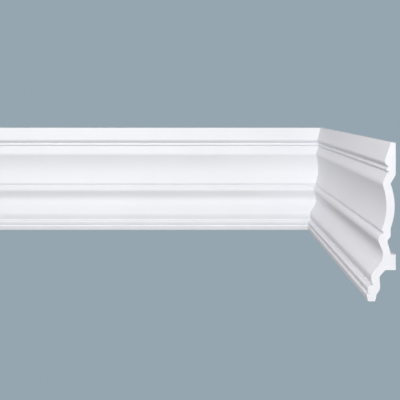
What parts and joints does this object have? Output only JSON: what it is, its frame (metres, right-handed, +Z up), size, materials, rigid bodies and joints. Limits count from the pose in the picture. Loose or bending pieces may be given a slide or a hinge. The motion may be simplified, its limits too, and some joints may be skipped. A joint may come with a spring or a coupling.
{
  "type": "skirting board",
  "caption": "Moulded skirting board turning an inside corner on a mitre, with coves, beads, an ogee, a tab that touches the wall and an open heel behind the foot.",
  "frame": {"origin": "on the floor, under the middle of the box round both lengths", "axes": "+X along the longer length towards the corner, +Y along the return towards the corner, +Z up; the walls are the planes of greatest X and greatest Y"},
  "size_m": [0.5, 0.4, 0.15],
  "materials": {
    "primed_polymer": "smooth matte white primer over dense foamed polymer, the cut ends a little rougher"
  },
  "bodies": {
    "root": {"skirting_back_run": "primed_polymer", "skirting_return": "primed_polymer"}
  },
  "joints": []
}
